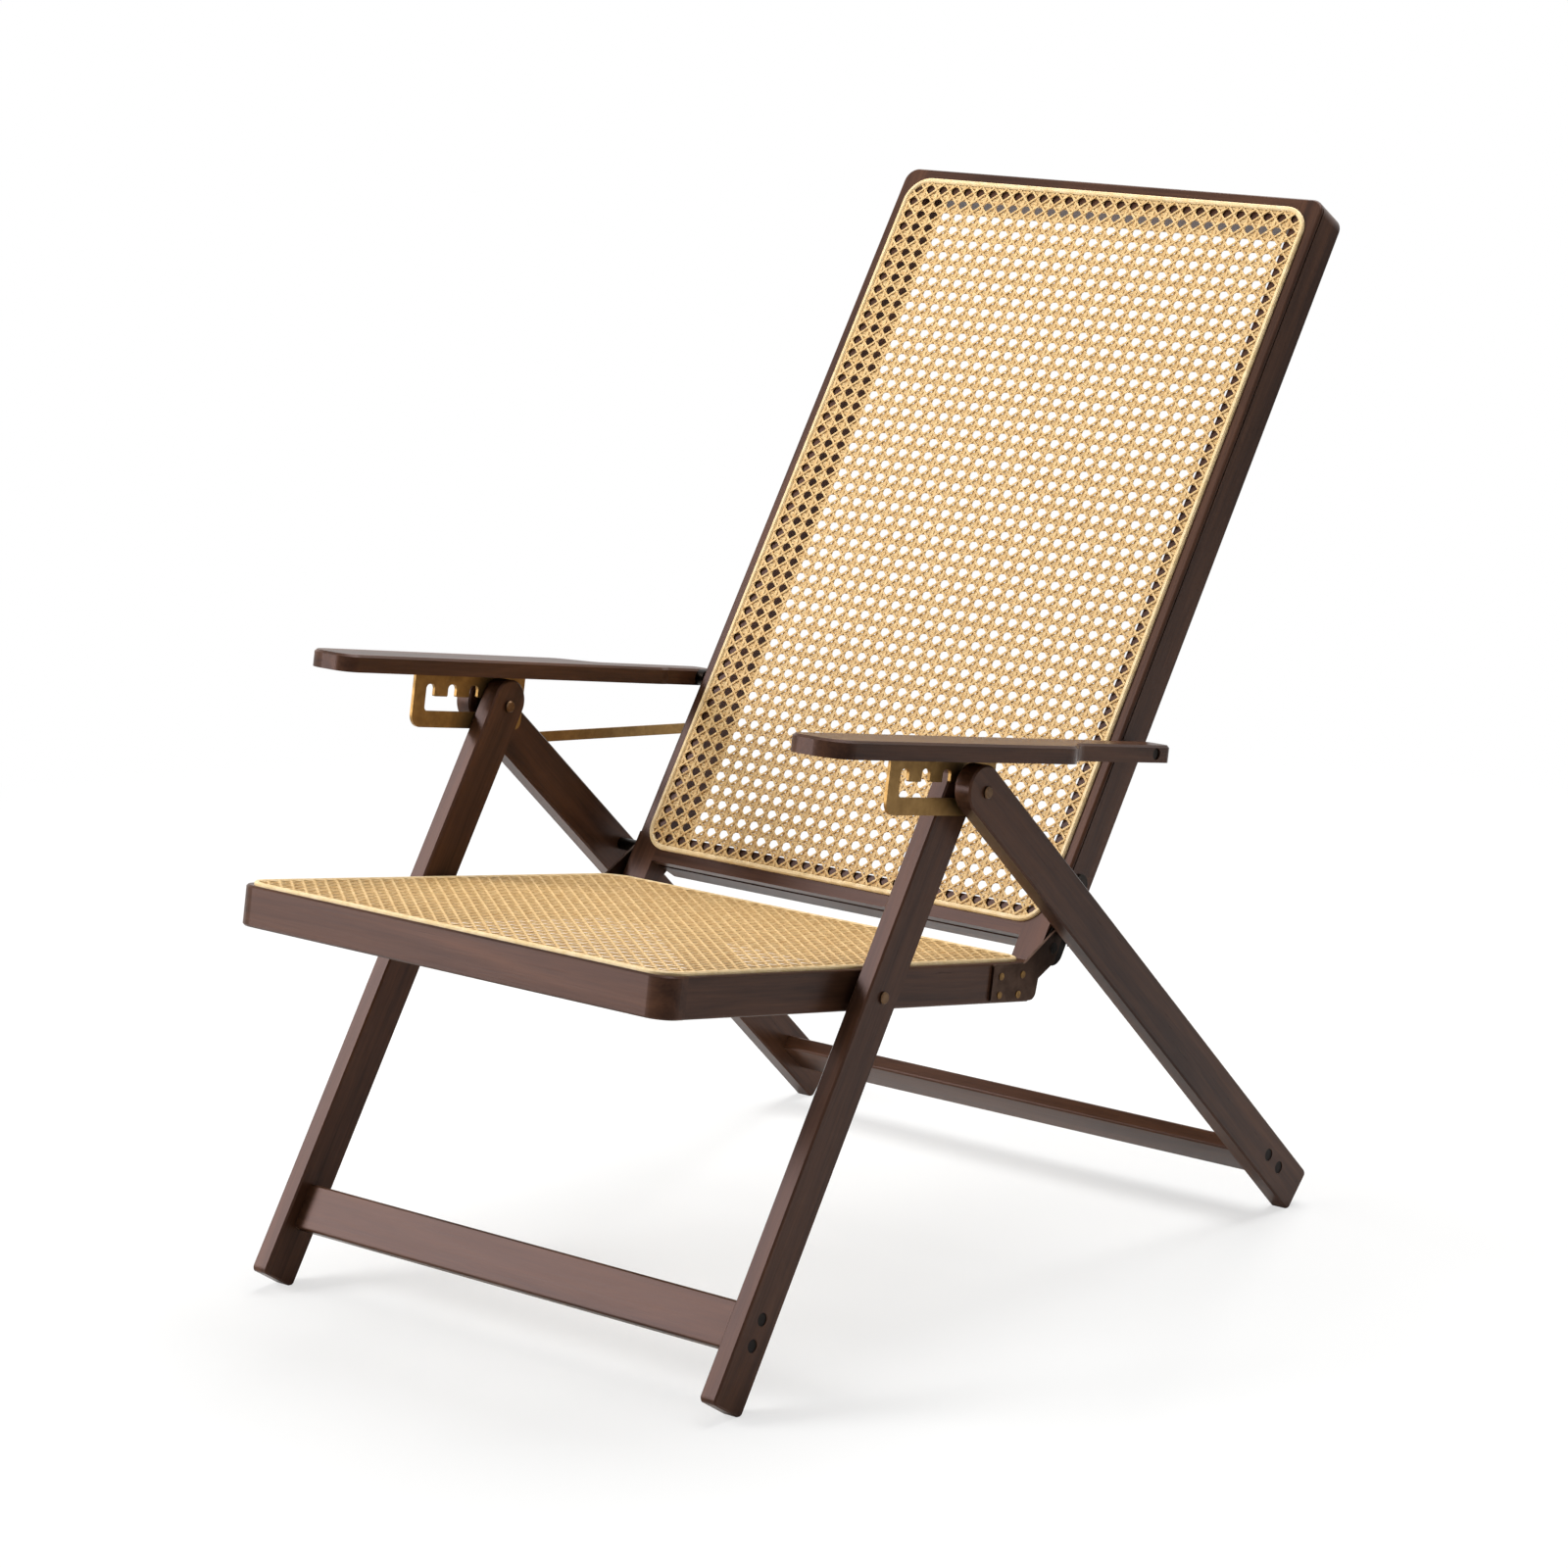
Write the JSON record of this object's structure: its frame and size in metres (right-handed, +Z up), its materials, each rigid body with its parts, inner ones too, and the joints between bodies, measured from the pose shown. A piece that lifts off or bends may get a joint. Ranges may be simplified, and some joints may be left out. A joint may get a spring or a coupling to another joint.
{
  "type": "folding reclining chair",
  "caption": "Folding wooden lounge chair with woven cane seat and back, flat armrests on slotted brass plates that set the back's recline, and crossed legs that fold flat.",
  "frame": {"origin": "on the floor, in the middle plane of the frame and midway between the front of the feet or seat and the rear end of the chair", "axes": "+X to the sitter's left, the chair faces -Y, +Z up"},
  "size_m": [0.632, 0.9882, 0.9584],
  "materials": {
    "dark_wood": "satin varnish",
    "dark_plug": "satin",
    "cane": "satin",
    "cane_spline": "satin",
    "antique_brass": "aged",
    "dark_bronze": "dark patina",
    "screw_brass": "aged",
    "black_metal": "semi-gloss",
    "stay_metal": "aged"
  },
  "bodies": {
    "front_frame": {"front_leg_left": "dark_wood", "front_leg_right": "dark_wood", "front_crossbar": "dark_wood", "front_bar_dowels": "dark_plug"},
    "rear_frame": {"rear_leg_left": "dark_wood", "rear_leg_right": "dark_wood", "rest_peg_left": "black_metal", "rest_peg_right": "black_metal", "rear_crossbar": "dark_wood", "rear_bar_dowels": "dark_plug", "stay_rivet": "screw_brass"},
    "stay": {"stay_bar": "stay_metal"},
    "seat": {"seat_front_rail": "dark_wood", "seat_rear_rail": "dark_wood", "seat_cane": "cane", "seat_spline": "cane_spline", "seat_plate_screws": "screw_brass", "seat_side_rail_left": "dark_wood", "seat_side_rail_right": "dark_wood", "seat_hinge_plate_left": "dark_bronze", "seat_hinge_plate_right": "dark_bronze", "seat_pivot_screw_left": "screw_brass", "seat_pivot_screw_right": "screw_brass", "seat_pivot_spacer_left": "black_metal", "seat_pivot_spacer_right": "black_metal"},
    "hinge_pins": {"back_hinge_pins": "black_metal"},
    "back": {"back_top_rail": "dark_wood", "back_bottom_rail": "dark_wood", "back_cane": "cane", "back_spline": "cane_spline", "strap_screws": "black_metal", "arm_pivot_sockets": "black_metal", "back_side_rail_left": "dark_wood", "back_side_rail_right": "dark_wood", "back_hinge_strap_left": "black_metal", "back_hinge_strap_right": "black_metal"},
    "pin_left": {"apex_pin_left": "screw_brass"},
    "bush_left": {"slot_bush_left": "black_metal"},
    "arm_left": {"armrest_left": "dark_wood", "notch_plate_left": "antique_brass", "plate_screws_left": "screw_brass", "arm_pivot_screw_left": "black_metal", "arm_pivot_spacer_left": "black_metal"},
    "pin_right": {"apex_pin_right": "screw_brass"},
    "bush_right": {"slot_bush_right": "black_metal"},
    "arm_right": {"armrest_right": "dark_wood", "notch_plate_right": "antique_brass", "plate_screws_right": "screw_brass", "arm_pivot_screw_right": "black_metal", "arm_pivot_spacer_right": "black_metal"}
  },
  "joints": [
    {"name": "fold", "type": "hinge", "parent": "front_frame", "child": "seat", "pos_m": [0, -0.23466, 0.3282], "axis": [1, 0, 0], "range_deg": [0, 54]},
    {"name": "rear_leg_fold", "type": "hinge", "parent": "front_frame", "child": "rear_frame", "pos_m": [0, -0.12628, 0.4951], "axis": [1, 0, 0], "range_deg": [-74.5, 0]},
    {"name": "hinge_pin_fold", "type": "hinge", "parent": "seat", "child": "hinge_pins", "pos_m": [0, 0.03984, 0.314], "axis": [1, 0, 0], "range_deg": [-54.5, 0]},
    {"name": "recline", "type": "hinge", "parent": "hinge_pins", "child": "back", "pos_m": [0, 0.03984, 0.314], "axis": [-1, 0, 0], "range_deg": [0, 33.35]},
    {"name": "stay_swing", "type": "hinge", "parent": "rear_frame", "child": "stay", "pos_m": [-0.309, -0.0796, 0.44987], "axis": [1, 0, 0], "range_deg": [-36.9, 0]},
    {"name": "arm_fold_left", "type": "hinge", "parent": "front_frame", "child": "pin_left", "pos_m": [0.28, -0.12628, 0.4951], "axis": [1, 0, 0], "range_deg": [0, 54.5]},
    {"name": "arm_tilt_left", "type": "hinge", "parent": "pin_left", "child": "bush_left", "pos_m": [0.28, -0.12628, 0.4951], "axis": [1, 0, 0], "range_deg": [-11.77, 0]},
    {"name": "arm_slide_left", "type": "slide", "parent": "bush_left", "child": "arm_left", "axis": [0, 0.984, -0.1784], "range_m": [0, 0.089]},
    {"name": "arm_fold_right", "type": "hinge", "parent": "front_frame", "child": "pin_right", "pos_m": [-0.28, -0.12628, 0.4951], "axis": [1, 0, 0], "range_deg": [0, 54.5]},
    {"name": "arm_tilt_right", "type": "hinge", "parent": "pin_right", "child": "bush_right", "pos_m": [-0.28, -0.12628, 0.4951], "axis": [1, 0, 0], "range_deg": [-11.77, 0]},
    {"name": "arm_slide_right", "type": "slide", "parent": "bush_right", "child": "arm_right", "axis": [0, 0.984, -0.1784], "range_m": [0, 0.089]}
  ],
  "couplings": [
    {"joint": "rear_leg_fold", "follows": "fold", "ratio": -1.3704},
    {"joint": "hinge_pin_fold", "follows": "fold", "ratio": -1},
    {"joint": "stay_swing", "follows": "fold", "ratio": -0.67407},
    {"joint": "arm_fold_left", "follows": "fold", "ratio": 1},
    {"joint": "arm_tilt_left", "follows": "recline", "ratio": -0.34381},
    {"joint": "arm_slide_left", "follows": "recline", "m_per_rad": 0.15204},
    {"joint": "arm_fold_right", "follows": "fold", "ratio": 1},
    {"joint": "arm_tilt_right", "follows": "recline", "ratio": -0.34381},
    {"joint": "arm_slide_right", "follows": "recline", "m_per_rad": 0.15204}
  ]
}
